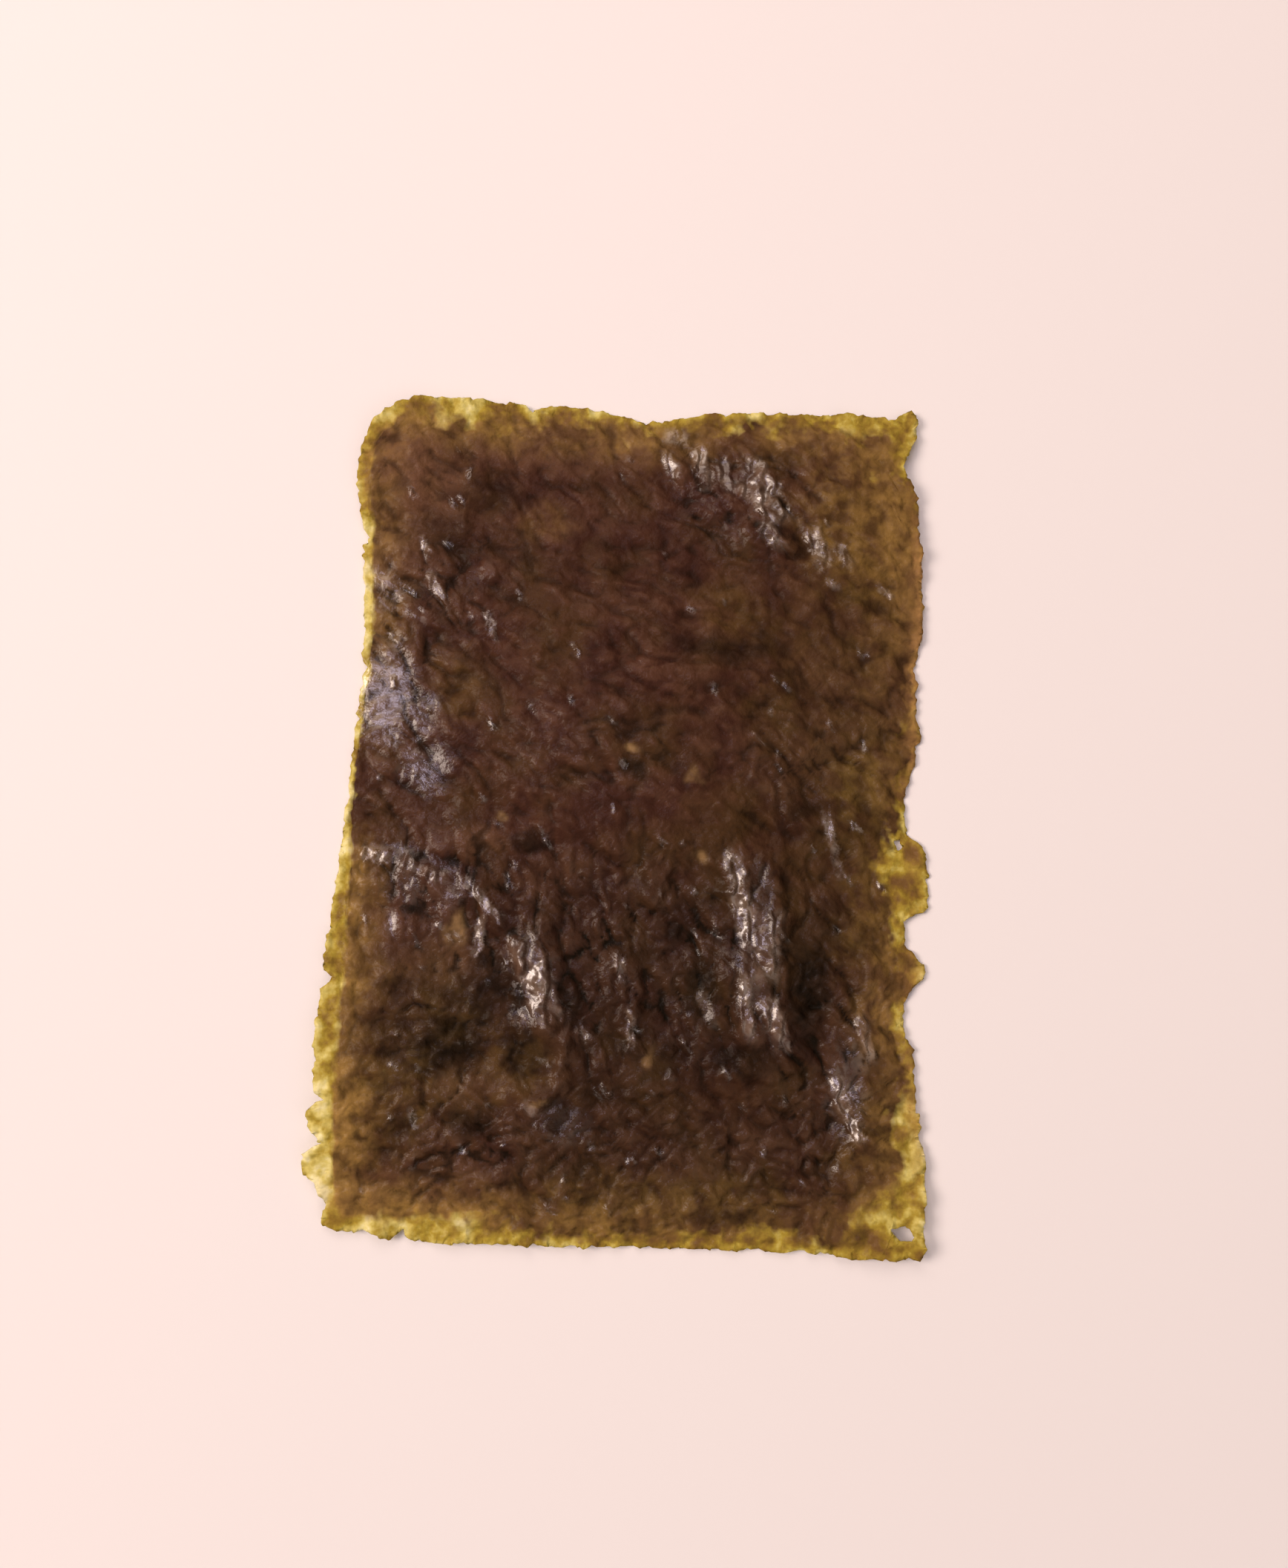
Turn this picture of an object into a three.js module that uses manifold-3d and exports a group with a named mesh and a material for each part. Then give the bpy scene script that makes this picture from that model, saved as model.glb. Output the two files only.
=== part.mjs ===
import * as THREE from 'three';
import { SimplexNoise } from 'three/addons/math/SimplexNoise.js';
import { mergeVertices } from 'three/addons/utils/BufferGeometryUtils.js';
import Module from 'manifold-3d';

// Sizes in millimetres. The sheet lies with its long side along Y and its upper face up.
const sheetBox = { left: -31, right: 30, low: -44.8, high: 44.9 };
const sheetCorners = { lowLeft: 3.4, lowRight: 0.8, highRight: 0.8, highLeft: 6.4 };

// The thick dark field ends inside the outline and leaves a thin margin all round.
const fieldBox = { left: -29.8, right: 28, low: -42.9, high: 42.4 };
const fieldCorners = { lowLeft: 3, lowRight: 3, highRight: 3, highLeft: 4.4 };

const fieldThickness = 0.36;
const marginThickness = 0.18;
const rimThickness = 0.12;

// How far the foot of the field's step lies on the way to the outline, by side.
const stepReach = { low: 0.5, right: 0.5, high: 0.5, left: 0.22 };

// Cells of the field's grid, and pieces of outline for each cell at its edge.
const acrossCells = 34;
const alongCells = 52;
const rimSplits = 3;

// Bulges (out above zero) and tears (out below zero) of the torn outline, along each side.
const outlineTears = {
  low: [
    { at: -27, half: 4.4, out: -1.0 },
    { at: -22.7, half: 1.0, out: -1.2 },
    { at: 25, half: 7, out: 0.5 },
    { at: 27.6, half: 1.4, out: 0.3 },
  ],
  right: [
    { at: 39.2, half: 4, out: -1.5 },
    { at: 24, half: 11, out: 0.8 },
    { at: 16.4, half: 1.4, out: -0.6 },
    { at: 9.4, half: 2.2, out: 0.5 },
    { at: 1.2, half: 6.4, out: -1.2 },
    { at: -6.1, half: 4.8, out: 1.4, steep: true },
    { at: -11.9, half: 2.3, out: -1.2, steep: true },
    { at: -15.9, half: 2.0, out: 1.1 },
    { at: -20.9, half: 4.4, out: -1.5 },
    { at: -38, half: 11, out: 1.0 },
    { at: -44.8, half: 2.6, out: 0.7 },
  ],
  high: [
    { at: -20, half: 11, out: 0.5 },
    { at: -12.4, half: 1.0, out: -0.8 },
    { at: 0.4, half: 8, out: -1.3 },
    { at: 8.8, half: 1.2, out: -0.4 },
    { at: 27, half: 1.2, out: -0.7 },
    { at: 29, half: 1.4, out: 0.7 },
  ],
  left: [
    { at: 35.5, half: 5, out: 0.5 },
    { at: 29.4, half: 1.2, out: -0.6 },
    { at: 16, half: 22, out: -1.1 },
    { at: 14.8, half: 1.0, out: -0.6 },
    { at: -24, half: 26, out: 1.4 },
    { at: -18.4, half: 1.2, out: -1.2 },
    { at: -30.6, half: 1.0, out: -1.1 },
    { at: -32.6, half: 1.7, out: 0.7, steep: true },
    { at: -35.1, half: 1.2, out: -0.8 },
    { at: -37.1, half: 2.1, out: 1.3, steep: true },
    { at: -41.4, half: 1.8, out: -0.9 },
  ],
};
const steepTop = 0.55;

// Places where the margin is wider (out below zero) or narrower than the plain field edge.
const fieldPatches = {
  low: [
    { at: -18, half: 13, out: -1.6 },
  ],
  right: [
    { at: -6, half: 6, out: -1.7 },
    { at: -34, half: 9, out: -0.9 },
  ],
  high: [
    { at: -18, half: 9, out: -0.4 },
    { at: 22, half: 7, out: -0.7 },
  ],
  left: [
    { at: 6, half: 14, out: 0.5 },
    { at: -36, half: 8, out: -0.3 },
  ],
};

// Ragged edges: seeded waves along the outline and along the field edge, in two lengths. The field
// edge draws back with most of each tear, so the margin stays open.
const raggedStep = 1.9;
const fineStep = 1.1;
const fineShare = 0.6;
const outlineRagged = { low: 0.12, right: 0.2, high: 0.18, left: 0.13 };
const fieldRagged = { low: 0.4, right: 0.3, high: 0.35, left: 0.05 };
const tearFollow = 0.8;

// Slow swells of the whole sheet. It rests on the floor where they leave it lowest.
const floorLevel = 0.15;
const swells = [
  { x: 0, y: 8, wide: 17, high: 2.0 },
  { x: -31, y: -30, wide: 13, high: 1.8 },
  { x: 31, y: -44, wide: 12, high: 1.2 },
  { x: -29, y: 44, wide: 11, high: 1.6 },
  { x: 24, y: 34, wide: 12, high: 1.3 },
  { x: 14, y: -18, wide: 10, high: 1.1 },
  { x: -10, y: -40, wide: 12, high: 0.7 },
];

// Crumpled folds (high above zero) and hollows between them, each along a straight run.
const folds = [
  { from: [2.4, 39.4], to: [13, 32], wide: 2.0, high: 0.75 },
  { from: [8, 33.6], to: [20.4, 26.4], wide: 1.9, high: 0.65 },
  { from: [-28, -5.8], to: [-14.4, -10.6], wide: 1.7, high: 0.6 },
  { from: [-9.8, -14.2], to: [-9.3, -23], wide: 2.1, high: 0.75 },
  { from: [10.4, -3.4], to: [12.4, -25.4], wide: 1.8, high: 0.8 },
  { from: [14.2, -5], to: [15.8, -27.4], wide: 1.7, high: 0.7 },
  { from: [-1.3, -14.8], to: [0.4, -22.8], wide: 1.5, high: 0.45 },
  { from: [22.8, -20.4], to: [25.4, -35.6], wide: 1.7, high: 0.75 },
  { from: [21.8, -0.6], to: [21.2, -6.4], wide: 1.5, high: 0.35 },
  { from: [4.8, -10], to: [5.6, -26], wide: 3.2, high: -0.6 },
  { from: [-16.6, -15], to: [-14.6, -30], wide: 2.8, high: -0.45 },
  { from: [18.8, -14], to: [19.6, -34], wide: 2.2, high: -0.5 },
  { from: [-4.6, 4], to: [3, 3.2], wide: 2.2, high: -0.35 },
];
const foldBreak = { step: 3.4, share: 0.25 };

// Matted crinkle over the whole sheet, as creases of three sizes.
const crinkles = [
  { across: 11, along: 8, high: 0.22, shiftX: 0, shiftY: 0 },
  { across: 5.2, along: 4.6, high: 0.22, shiftX: 31, shiftY: -17 },
  { across: 3, along: 2.8, high: 0.12, shiftX: -12, shiftY: 43 },
];

// Thin spots in the field, where the sheet lets light through.
const thinSpots = [
  { x: -0.5, y: 6.4, wide: 1.6, thin: 0.18 },
  { x: 7, y: 3.8, wide: 1.8, thin: 0.14 },
  { x: -14.2, y: -0.8, wide: 1.8, thin: 0.14 },
  { x: -12, y: -26.3, wide: 3.2, thin: 0.1 },
  { x: 24, y: 35, wide: 5, thin: 0.1 },
  { x: 28, y: -42.4, wide: 4.4, thin: 0.18 },
];

// Small ragged holes torn through the margin. The cutter reaches well past both faces.
const holes = [
  { x: 28.6, y: -42.6, across: 1.15, along: 0.75, turn: -0.25 },
  { x: 28.2, y: -2.6, across: 0.45, along: 0.6, turn: 0.2 },
];
const holeCorners = 12;
const holeRagged = 0.16;
const cutterReach = 6;

const noriLook = { red: 0.29, green: 0.185, blue: 0.125, roughness: 0.55, metalness: 0 };

const noiseSeed = 4127;
const outlineSeedRow = { low: 10, right: 15, high: 20, left: 25 };
const fieldSeedRow = { low: 50, right: 55, high: 60, left: 65 };
const fineSeedRow = 7;

// Repeatable random numbers from one seed.
function seededRandom(seed) {
  let state = seed;
  return () => {
    state = (state + 0x6d2b79f5) | 0;
    let mixed = Math.imul(state ^ (state >>> 15), 1 | state);
    mixed = (mixed + Math.imul(mixed ^ (mixed >>> 7), 61 | mixed)) ^ mixed;
    return ((mixed ^ (mixed >>> 14)) >>> 0) / 2 ** 32;
  };
}

const noise = new SimplexNoise({ random: seededRandom(noiseSeed) });

// Smooth hump of height 1 at zero, gone at plus and minus one; steep ones have a flat top.
function hump(offset, steep) {
  const distance = Math.min(1, Math.abs(offset));
  if (steep) {
    return 1 - THREE.MathUtils.smoothstep(distance, steepTop, 1);
  }
  return 0.5 + 0.5 * Math.cos(Math.PI * distance);
}

function shift(features, along) {
  return features.reduce((sum, one) => sum + one.out * hump((along - one.at) / one.half, one.steep), 0);
}

// Round swelling of height 1 in the middle that fades out over its width.
function fade(distance, wide) {
  return Math.exp(-((distance / wide) ** 2));
}

// The four sides of a box with rounded corners, counter-clockwise, each from the middle of one
// corner to the middle of the next.
function boxSides(box, corners) {
  const centre = {
    lowLeft: [box.left + corners.lowLeft, box.low + corners.lowLeft],
    lowRight: [box.right - corners.lowRight, box.low + corners.lowRight],
    highRight: [box.right - corners.highRight, box.high - corners.highRight],
    highLeft: [box.left + corners.highLeft, box.high - corners.highLeft],
  };
  const side = (from, to, startTurn) => {
    const middleTurn = startTurn + Math.PI / 4;
    const endTurn = middleTurn + Math.PI / 4;
    const path = new THREE.Path();
    path.absarc(...centre[from], corners[from], startTurn, middleTurn, false);
    path.absarc(...centre[to], corners[to], middleTurn, endTurn, false);
    return path;
  };
  return {
    low: side('lowLeft', 'lowRight', -0.75 * Math.PI),
    right: side('lowRight', 'highRight', -0.25 * Math.PI),
    high: side('highRight', 'highLeft', 0.25 * Math.PI),
    left: side('highLeft', 'lowLeft', 0.75 * Math.PI),
  };
}

const sideNames = ['low', 'right', 'high', 'left'];
const sideCells = { low: acrossCells, right: alongCells, high: acrossCells, left: alongCells };

function alongSide(name, point) {
  return name === 'low' || name === 'high' ? point.x : point.y;
}

// Points of one side, moved outwards by its features and by seeded raggedness.
function tornSide(path, name, count, shiftAt, ragged, seedRow) {
  const points = [];
  for (let index = 0; index < count; index += 1) {
    const point = path.getPointAt(index / count);
    const tangent = path.getTangentAt(index / count);
    const along = alongSide(name, point);
    const longWave = noise.noise(along / raggedStep, seedRow);
    const fineWave = noise.noise(along / fineStep, seedRow + fineSeedRow);
    const out = shiftAt(along) + ragged * (longWave + fineShare * fineWave);
    points.push(new THREE.Vector2(point.x + tangent.y * out, point.y - tangent.x * out));
  }
  return points;
}

const outlineSides = boxSides(sheetBox, sheetCorners);
const outline = sideNames.flatMap((name) => {
  const shiftAt = (along) => shift(outlineTears[name], along);
  const count = sideCells[name] * rimSplits;
  return tornSide(outlineSides[name], name, count, shiftAt, outlineRagged[name], outlineSeedRow[name]);
});

const fieldSides = boxSides(fieldBox, fieldCorners);
const fieldEdge = sideNames.flatMap((name) => {
  const tearAt = (along) => Math.min(0, shift(outlineTears[name], along));
  const shiftAt = (along) => shift(fieldPatches[name], along) + tearFollow * tearAt(along);
  return tornSide(fieldSides[name], name, sideCells[name], shiftAt, fieldRagged[name], fieldSeedRow[name]);
});

const edgeSide = sideNames.flatMap((name) => Array(sideCells[name]).fill(name));
const stepFoot = fieldEdge.map((point, index) => (
  point.clone().lerp(outline[index * rimSplits], stepReach[edgeSide[index]])
));

function distanceToRun(x, y, fold) {
  const [startX, startY] = fold.from;
  const [endX, endY] = fold.to;
  const runX = endX - startX;
  const runY = endY - startY;
  const share = ((x - startX) * runX + (y - startY) * runY) / (runX * runX + runY * runY);
  const near = THREE.MathUtils.clamp(share, 0, 1);
  return Math.hypot(x - startX - near * runX, y - startY - near * runY);
}

// Height of the sheet's middle over the floor, before its low places settle on the floor.
function sheetHeight(x, y) {
  let height = -floorLevel;
  for (const swell of swells) {
    height += swell.high * fade(Math.hypot(x - swell.x, y - swell.y), swell.wide);
  }
  const broken = 1 - foldBreak.share + foldBreak.share * noise.noise(x / foldBreak.step, y / foldBreak.step);
  for (const fold of folds) {
    height += fold.high * broken * fade(distanceToRun(x, y, fold), fold.wide);
  }
  for (const crinkle of crinkles) {
    const wave = noise.noise(x / crinkle.across + crinkle.shiftX, y / crinkle.along + crinkle.shiftY);
    height += crinkle.high * (1 - 2 * Math.abs(wave));
  }
  return height;
}

function fieldThicknessAt(x, y) {
  let thickness = fieldThickness;
  for (const spot of thinSpots) {
    thickness -= spot.thin * fade(Math.hypot(x - spot.x, y - spot.y), spot.wide);
  }
  return thickness;
}

// Plan of the sheet: one list of places with a thickness, and its triangles, for both faces.
const places = [];
const triangles = [];

function addPlace(point, thickness) {
  places.push({ x: point.x, y: point.y, thickness });
  return places.length - 1;
}

// Field grid: each place is blended from the four sides of the field edge.
const rightStart = acrossCells;
const highStart = rightStart + alongCells;
const leftStart = highStart + acrossCells;

function fieldPoint(column, row) {
  const low = fieldEdge[column];
  const right = fieldEdge[rightStart + row];
  const high = fieldEdge[leftStart - column];
  const left = fieldEdge[(leftStart + alongCells - row) % fieldEdge.length];
  const u = column / acrossCells;
  const v = row / alongCells;
  const point = new THREE.Vector2();
  point.addScaledVector(low, 1 - v).addScaledVector(high, v);
  point.addScaledVector(left, 1 - u).addScaledVector(right, u);
  point.addScaledVector(fieldEdge[0], -(1 - u) * (1 - v));
  point.addScaledVector(fieldEdge[rightStart], -u * (1 - v));
  point.addScaledVector(fieldEdge[highStart], -u * v);
  point.addScaledVector(fieldEdge[leftStart], -(1 - u) * v);
  return point;
}

const grid = [];
for (let row = 0; row <= alongCells; row += 1) {
  grid.push([]);
  for (let column = 0; column <= acrossCells; column += 1) {
    const point = fieldPoint(column, row);
    grid[row].push(addPlace(point, fieldThicknessAt(point.x, point.y)));
  }
}

for (let row = 0; row < alongCells; row += 1) {
  for (let column = 0; column < acrossCells; column += 1) {
    const lowLeft = grid[row][column];
    const lowRight = grid[row][column + 1];
    const highRight = grid[row + 1][column + 1];
    const highLeft = grid[row + 1][column];
    if ((row + column) % 2 === 0) {
      triangles.push([lowLeft, lowRight, highRight], [lowLeft, highRight, highLeft]);
    } else {
      triangles.push([lowLeft, lowRight, highLeft], [lowRight, highRight, highLeft]);
    }
  }
}

// Rings round the grid: its own edge, the foot of the field's step, and the torn outline.
const fieldRing = [
  ...grid[0].slice(0, acrossCells),
  ...grid.slice(0, alongCells).map((row) => row[acrossCells]),
  ...grid[alongCells].slice(1).reverse(),
  ...grid.slice(1).map((row) => row[0]).reverse(),
];
const footRing = stepFoot.map((point) => addPlace(point, marginThickness));
const rimRing = outline.map((point) => addPlace(point, rimThickness));

function reach(one, other) {
  return Math.hypot(places[one].x - places[other].x, places[one].y - places[other].y);
}

// Fills the band between two rings, always across the shorter way.
function fillBand(inner, outer) {
  let inside = 0;
  let outside = 0;
  while (inside < inner.length || outside < outer.length) {
    const innerHere = inner[inside % inner.length];
    const innerNext = inner[(inside + 1) % inner.length];
    const outerHere = outer[outside % outer.length];
    const outerNext = outer[(outside + 1) % outer.length];
    const outerLeft = outside < outer.length;
    const outerShorter = reach(innerHere, outerNext) < reach(innerNext, outerHere);
    if (inside === inner.length || (outerLeft && outerShorter)) {
      triangles.push([innerHere, outerHere, outerNext]);
      outside += 1;
    } else {
      triangles.push([innerHere, outerHere, innerNext]);
      inside += 1;
    }
  }
}
fillBand(fieldRing, footRing);
fillBand(footRing, rimRing);

// Both faces of the sheet from the one plan, and the thin wall along the outline. Place number n has
// its upper point at 2n and its lower point at 2n + 1.
const points = places.flatMap((place) => {
  const under = Math.max(0, sheetHeight(place.x, place.y) - place.thickness / 2);
  return [place.x, place.y, under + place.thickness, place.x, place.y, under];
});
const faces = triangles.flatMap(([a, b, c]) => [2 * a, 2 * b, 2 * c, 2 * c + 1, 2 * b + 1, 2 * a + 1]);
rimRing.forEach((here, index) => {
  const next = rimRing[(index + 1) % rimRing.length];
  faces.push(2 * here + 1, 2 * next + 1, 2 * next);
  faces.push(2 * here + 1, 2 * next, 2 * here);
});

const wasm = await Module();
wasm.setup();

function toSolid(vertProperties, triVerts) {
  return new wasm.Manifold(new wasm.Mesh({
    numProp: 3,
    vertProperties: Float32Array.from(vertProperties),
    triVerts: Uint32Array.from(triVerts),
  }));
}

// Upright cutter with a ragged oval section.
function holeCutter(hole) {
  const oval = [];
  for (let index = 0; index < holeCorners; index += 1) {
    const turn = (2 * Math.PI * index) / holeCorners;
    const ragged = 1 + holeRagged * noise.noise(hole.y + Math.cos(turn), Math.sin(turn));
    const point = new THREE.Vector2(hole.across * Math.cos(turn), hole.along * Math.sin(turn));
    oval.push(point.multiplyScalar(ragged));
  }
  const upright = { depth: 2 * cutterReach, bevelEnabled: false };
  const cutter = new THREE.ExtrudeGeometry(new THREE.Shape(oval), upright);
  cutter.deleteAttribute('normal');
  cutter.deleteAttribute('uv');
  cutter.rotateZ(hole.turn);
  cutter.translate(hole.x, hole.y, -cutterReach);
  const merged = mergeVertices(cutter);
  return toSolid(merged.attributes.position.array, merged.index.array);
}

const whole = toSolid(points, faces);
const torn = holes.reduce((solid, hole) => solid.subtract(holeCutter(hole)), whole).getMesh();

const geometry = new THREE.BufferGeometry();
geometry.setAttribute('position', new THREE.BufferAttribute(torn.vertProperties, torn.numProp));
geometry.setIndex(new THREE.BufferAttribute(torn.triVerts, 1));

// The origin sits on the floor, under the middle of the sheet.
geometry.computeBoundingBox();
const middle = geometry.boundingBox.getCenter(new THREE.Vector3());
geometry.translate(-middle.x, -middle.y, -geometry.boundingBox.min.z);
geometry.computeVertexNormals();

const noriColour = new THREE.Color();
noriColour.setRGB(noriLook.red, noriLook.green, noriLook.blue, THREE.SRGBColorSpace);
const noriMaterial = new THREE.MeshStandardMaterial({
  color: noriColour,
  roughness: noriLook.roughness,
  metalness: noriLook.metalness,
});

const noriSheet = new THREE.Mesh(geometry, noriMaterial);
noriSheet.name = 'nori_sheet';

const part = new THREE.Group();
part.name = 'roasted_nori_sheet';
part.add(noriSheet);

export default part;
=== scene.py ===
import math
import random
import bmesh
import bpy
from mathutils import Matrix, Vector, noise
from mathutils.bvhtree import BVHTree
from mathutils.kdtree import KDTree


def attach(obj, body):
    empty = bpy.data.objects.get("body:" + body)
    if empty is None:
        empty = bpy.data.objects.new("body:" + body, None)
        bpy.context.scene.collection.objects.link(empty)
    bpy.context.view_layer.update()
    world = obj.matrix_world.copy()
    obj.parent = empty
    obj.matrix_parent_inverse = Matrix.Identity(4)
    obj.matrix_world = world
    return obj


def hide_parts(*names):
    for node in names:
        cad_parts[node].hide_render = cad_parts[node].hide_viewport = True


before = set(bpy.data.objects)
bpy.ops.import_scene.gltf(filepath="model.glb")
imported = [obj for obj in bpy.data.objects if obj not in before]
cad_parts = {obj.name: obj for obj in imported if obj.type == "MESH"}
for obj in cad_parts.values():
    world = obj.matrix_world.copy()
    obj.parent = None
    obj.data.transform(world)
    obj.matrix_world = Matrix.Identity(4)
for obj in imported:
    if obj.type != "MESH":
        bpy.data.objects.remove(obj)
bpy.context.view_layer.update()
mm = 0.001
lookFrom = 20.0 * mm  # faces are looked for from this far above the floor, and below it
print("frame loaded")


# soft step from 0 at low to 1 at high
def softStep(low, high, value):
    share = min(max((value - low) / (high - low), 0.0), 1.0)
    return share * share * (3.0 - 2.0 * share)


# squared distance from a middle place, with its reach across and along as the unit
def awayFrom(x, y, middleX, middleY, reachX, reachY):
    return ((x - middleX) / reachX) ** 2 + ((y - middleY) / reachY) ** 2


# 1 at a middle place, falling off over its reach
def nearShare(x, y, *spot):
    return math.exp(-awayFrom(x, y, *spot))


# smooth noise, about -1 to 1, with bumps roughly pitch mm apart
def grain(x, y, pitch, layer):
    return noise.noise(Vector((x / pitch, y / pitch, layer)))


# how far a place strays across and along, each by its own layer of noise
def shiftAt(x, y, amount, pitch, layerX, layerY):
    return amount * grain(x, y, pitch, layerX), amount * grain(x, y, pitch, layerY)


# sizes of the leaf are in mm, and its places are in the frame's own X and Y
# glossy pleats: start, end, half width, pleat pitch, slope of the lit flank, how oily
pleatSettings = {
    "ridges": [
        ((3.2, 39.6), (4.1, 37.3), 0.9, 1.2, 0.42, 0.8),
        ((6.4, 40.4), (7.7, 36.4), 1.2, 1.4, 0.42, 1.0),
        ((9.0, 39.1), (10.3, 35.5), 1.0, 1.3, 0.40, 0.9),
        ((11.4, 36.8), (15.9, 32.3), 1.6, 2.1, 0.44, 1.0),
        ((12.3, 39.2), (15.4, 35.6), 1.0, 1.3, 0.40, 0.8),
        ((13.8, 31.9), (15.8, 29.1), 1.1, 1.4, 0.42, 0.7),
        ((19.0, 31.5), (20.6, 27.4), 1.3, 1.6, 0.38, 0.7),
        ((22.0, 29.6), (23.6, 27.5), 0.7, 0.9, 0.40, 0.6),
        ((21.0, 25.8), (22.1, 24.8), 0.5, 0.7, 0.45, 0.9),
        ((26.5, 25.3), (28.0, 24.1), 0.5, 0.7, 0.42, 0.7),
        ((-23.5, 29.1), (-22.5, 27.4), 0.6, 1.1, 0.36, 0.9),
        ((-22.2, 25.6), (-21.1, 22.6), 0.6, 1.1, 0.36, 0.8),
        ((-24.9, 24.1), (-24.1, 23.1), 0.4, 0.7, 0.42, 0.8),
        ((-16.0, 21.3), (-14.8, 17.9), 0.5, 0.9, 0.38, 0.8),
        ((-27.8, -5.3), (-25.0, -6.0), 0.8, 1.2, 0.40, 1.0),
        ((-23.6, -6.0), (-19.2, -7.6), 0.8, 1.2, 0.38, 0.7),
        ((-17.5, -7.2), (-12.8, -12.1), 0.7, 1.1, 0.42, 0.8),
        ((-15.1, -11.8), (-15.6, -15.7), 0.6, 1.2, 0.38, 0.85),
        ((-10.6, -14.2), (-7.6, -21.6), 1.9, 2.4, 0.40, 1.0),
        ((-0.8, -15.2), (0.4, -17.9), 0.8, 1.1, 0.40, 0.7),
        ((0.7, -21.0), (1.0, -24.4), 0.6, 1.0, 0.38, 0.6),
        ((-4.6, -22.6), (-3.2, -24.4), 0.7, 1.1, 0.40, 0.5),
        ((11.2, -4.6), (13.4, -14.2), 1.4, 1.8, 0.38, 0.9),
        ((15.6, -10.6), (14.8, -17.3), 1.6, 1.9, 0.37, 0.78),
        ((12.4, -17.0), (13.3, -23.3), 0.9, 1.2, 0.42, 0.9),
        ((15.0, -19.4), (16.8, -24.6), 1.3, 1.6, 0.42, 1.0),
        ((21.2, -0.1), (22.8, -6.6), 0.6, 0.8, 0.38, 0.7),
        ((24.9, -21.3), (26.2, -25.4), 1.0, 1.8, 0.40, 0.9),
        ((22.3, -26.7), (23.4, -30.8), 1.0, 1.8, 0.40, 0.9),
        ((23.4, -31.1), (25.1, -33.7), 0.8, 1.2, 0.44, 1.0),
        ((8.3, -19.4), (9.6, -22.5), 0.6, 1.0, 0.36, 0.35),
        ((-9.8, -30.6), (-8.6, -31.7), 0.5, 0.8, 0.42, 0.8),
    ],
    "litShare": 0.84,       # share of a pleat's pitch that its lit flank takes
    "fullShare": 0.55,      # share of its half width that keeps the full height
    "stray": (0.5, 1.5, 3.3, 12.7),         # how far and how often it strays, and the noise layers
    "fineStray": (0.18, 0.55, 6.1, 15.2),
    "beadPitch": 0.8,       # its height swells and sinks
    "beadHeight": (0.75, 0.5),              # mean and swing of that
    "crackPitch": 1.0,      # dull gaps in the gloss
    "crackFrom": (-0.45, -0.1),
    "crackShine": 0.3,      # share of the gloss left in a gap
    "streakFrom": 0.45,     # a pleat wider than this to each side smooths the crumple under it
    "streakCalm": 0.75,     # share of the crumple gone there
    "oilCalm": 0.95,        # and in an oily patch
    "binSize": 4.0,
    "binMargin": 0.8,
}

# small glints scattered over the field, leaning like the creases
glintSettings = {
    "seed": 515,
    "count": 118,
    "length": (0.4, 1.5),
    "half": (0.2, 0.38),
    "pitch": 0.8,
    "slope": (0.36, 0.52),
    "shine": (0.4, 1.0),
    "lean": (-75.0, -30.0),     # degrees
    "boxX": (-28.0, 27.5),
    "boxY": (-41.5, 41.0),
    "fewerAt": (2.0, 26.0, 22.0, 18.0),     # middle and reach of a calmer part
    "fewerBy": 0.8,
}


def scatterGlints(settings):
    draw = random.Random(settings["seed"])
    glints = []
    while len(glints) < settings["count"]:
        x = draw.uniform(*settings["boxX"])
        y = draw.uniform(*settings["boxY"])
        if draw.random() < settings["fewerBy"] * nearShare(x, y, *settings["fewerAt"]):
            continue
        lean = math.radians(draw.uniform(*settings["lean"]))
        length = draw.uniform(*settings["length"])
        half = draw.uniform(*settings["half"])
        end = (x + length * math.cos(lean), y + length * math.sin(lean))
        slope = draw.uniform(*settings["slope"])
        glints.append(((x, y), end, half, settings["pitch"], slope, draw.uniform(*settings["shine"])))
    return glints


# the bins that a stretch and its reach lie in
def binsAlong(first, second, reach, size):
    low = int((min(first, second) - reach) // size)
    high = int((max(first, second) + reach) // size)
    return range(low, high + 1)


# pleats and glints sorted into square bins, so that a place looks only at those near it
def binRidges(ridges, size, margin):
    bins = {}
    for ridge in ridges:
        (startX, startY), (endX, endY), half = ridge[:3]
        for column in binsAlong(startX, endX, half + margin, size):
            for row in binsAlong(startY, endY, half + margin, size):
                bins.setdefault((column, row), []).append(ridge)
    return bins


ridgeBins = binRidges(pleatSettings["ridges"] + scatterGlints(glintSettings),
                      pleatSettings["binSize"], pleatSettings["binMargin"])


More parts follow.
